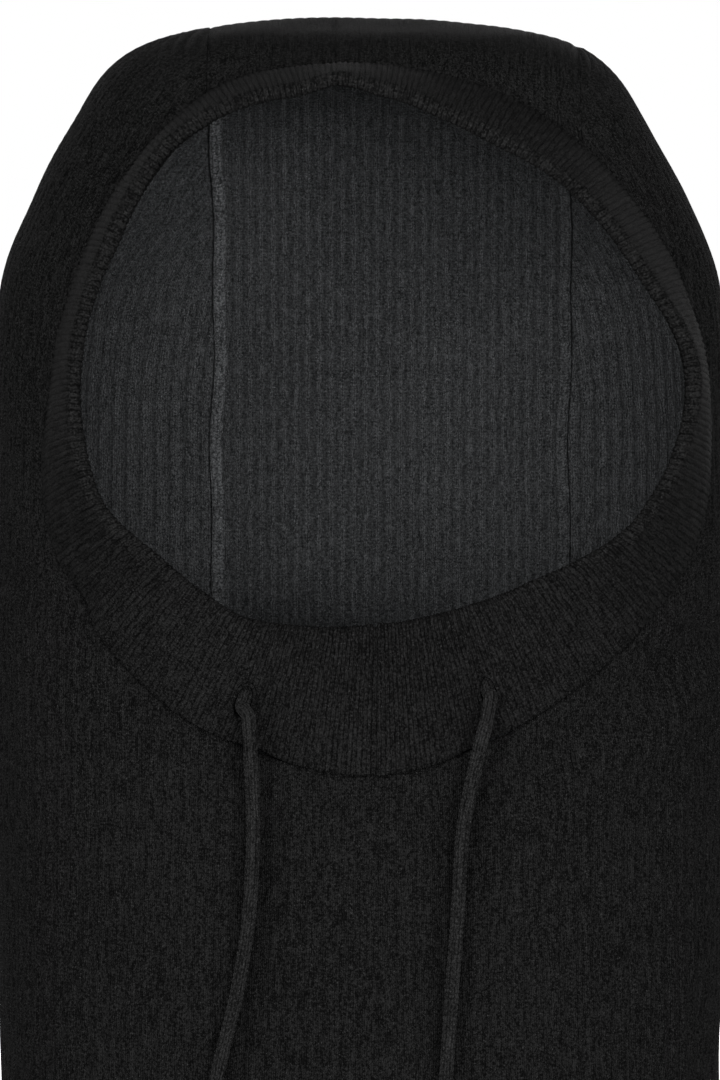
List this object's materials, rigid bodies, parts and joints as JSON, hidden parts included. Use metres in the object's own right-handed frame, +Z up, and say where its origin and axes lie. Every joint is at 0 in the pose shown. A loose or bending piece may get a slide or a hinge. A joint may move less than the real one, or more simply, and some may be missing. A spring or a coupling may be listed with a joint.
{
  "type": "balaclava",
  "caption": "Knitted hood balaclava with an open face, a folded rib face band and a drawcord that hangs from an eyelet on each side of the chest.",
  "frame": {"origin": "centre of the neck opening at the bottom of the hem, on the axis of the wearer's head", "axes": "+Z up the wearer's head towards the crown, -Y out of the face opening, +X to the right when the face opening is looked at"},
  "size_m": [0.2658, 0.234, 0.437],
  "materials": {
    "body_knit": "heathered wool rib, fuzzy and matt",
    "band_knit": "fine one by one rib, matt",
    "cord_knit": "tubular knitted cord, matt",
    "seam_yarn": "linked seam in the body yarn, matt"
  },
  "bodies": {
    "hood": {"wrap_panel": "body_knit", "crown_panel": "body_knit", "left_panel_seam": "seam_yarn", "right_panel_seam": "seam_yarn", "hem_band": "body_knit", "hem_seam": "seam_yarn", "band_outer_layer": "band_knit", "band_inner_layer": "band_knit", "band_seam": "seam_yarn", "band_join_seam": "seam_yarn", "drawcord_run": "cord_knit", "left_eyelet": "seam_yarn", "right_eyelet": "seam_yarn"},
    "left_draw": {"left_cord_draw": "cord_knit"},
    "left_tail": {"left_cord_tail": "cord_knit", "left_cord_knot": "cord_knit"},
    "right_draw": {"right_cord_draw": "cord_knit"},
    "right_tail": {"right_cord_tail": "cord_knit", "right_cord_knot": "cord_knit"}
  },
  "joints": [
    {"name": "left_cord_pull", "type": "slide", "parent": "hood", "child": "left_draw", "axis": [0, -0.16, -0.9871], "range_m": [0, 0.025]},
    {"name": "left_cord_lift", "type": "hinge", "parent": "left_draw", "child": "left_tail", "pos_m": [-0.03795, -0.1001, 0.1766], "axis": [-1, 0, 0], "range_deg": [0, 75]},
    {"name": "right_cord_pull", "type": "slide", "parent": "hood", "child": "right_draw", "axis": [0, -0.16, -0.9871], "range_m": [0, 0.025]},
    {"name": "right_cord_lift", "type": "hinge", "parent": "right_draw", "child": "right_tail", "pos_m": [0.0413, -0.0999, 0.1766], "axis": [-1, 0, 0], "range_deg": [0, 75]}
  ]
}
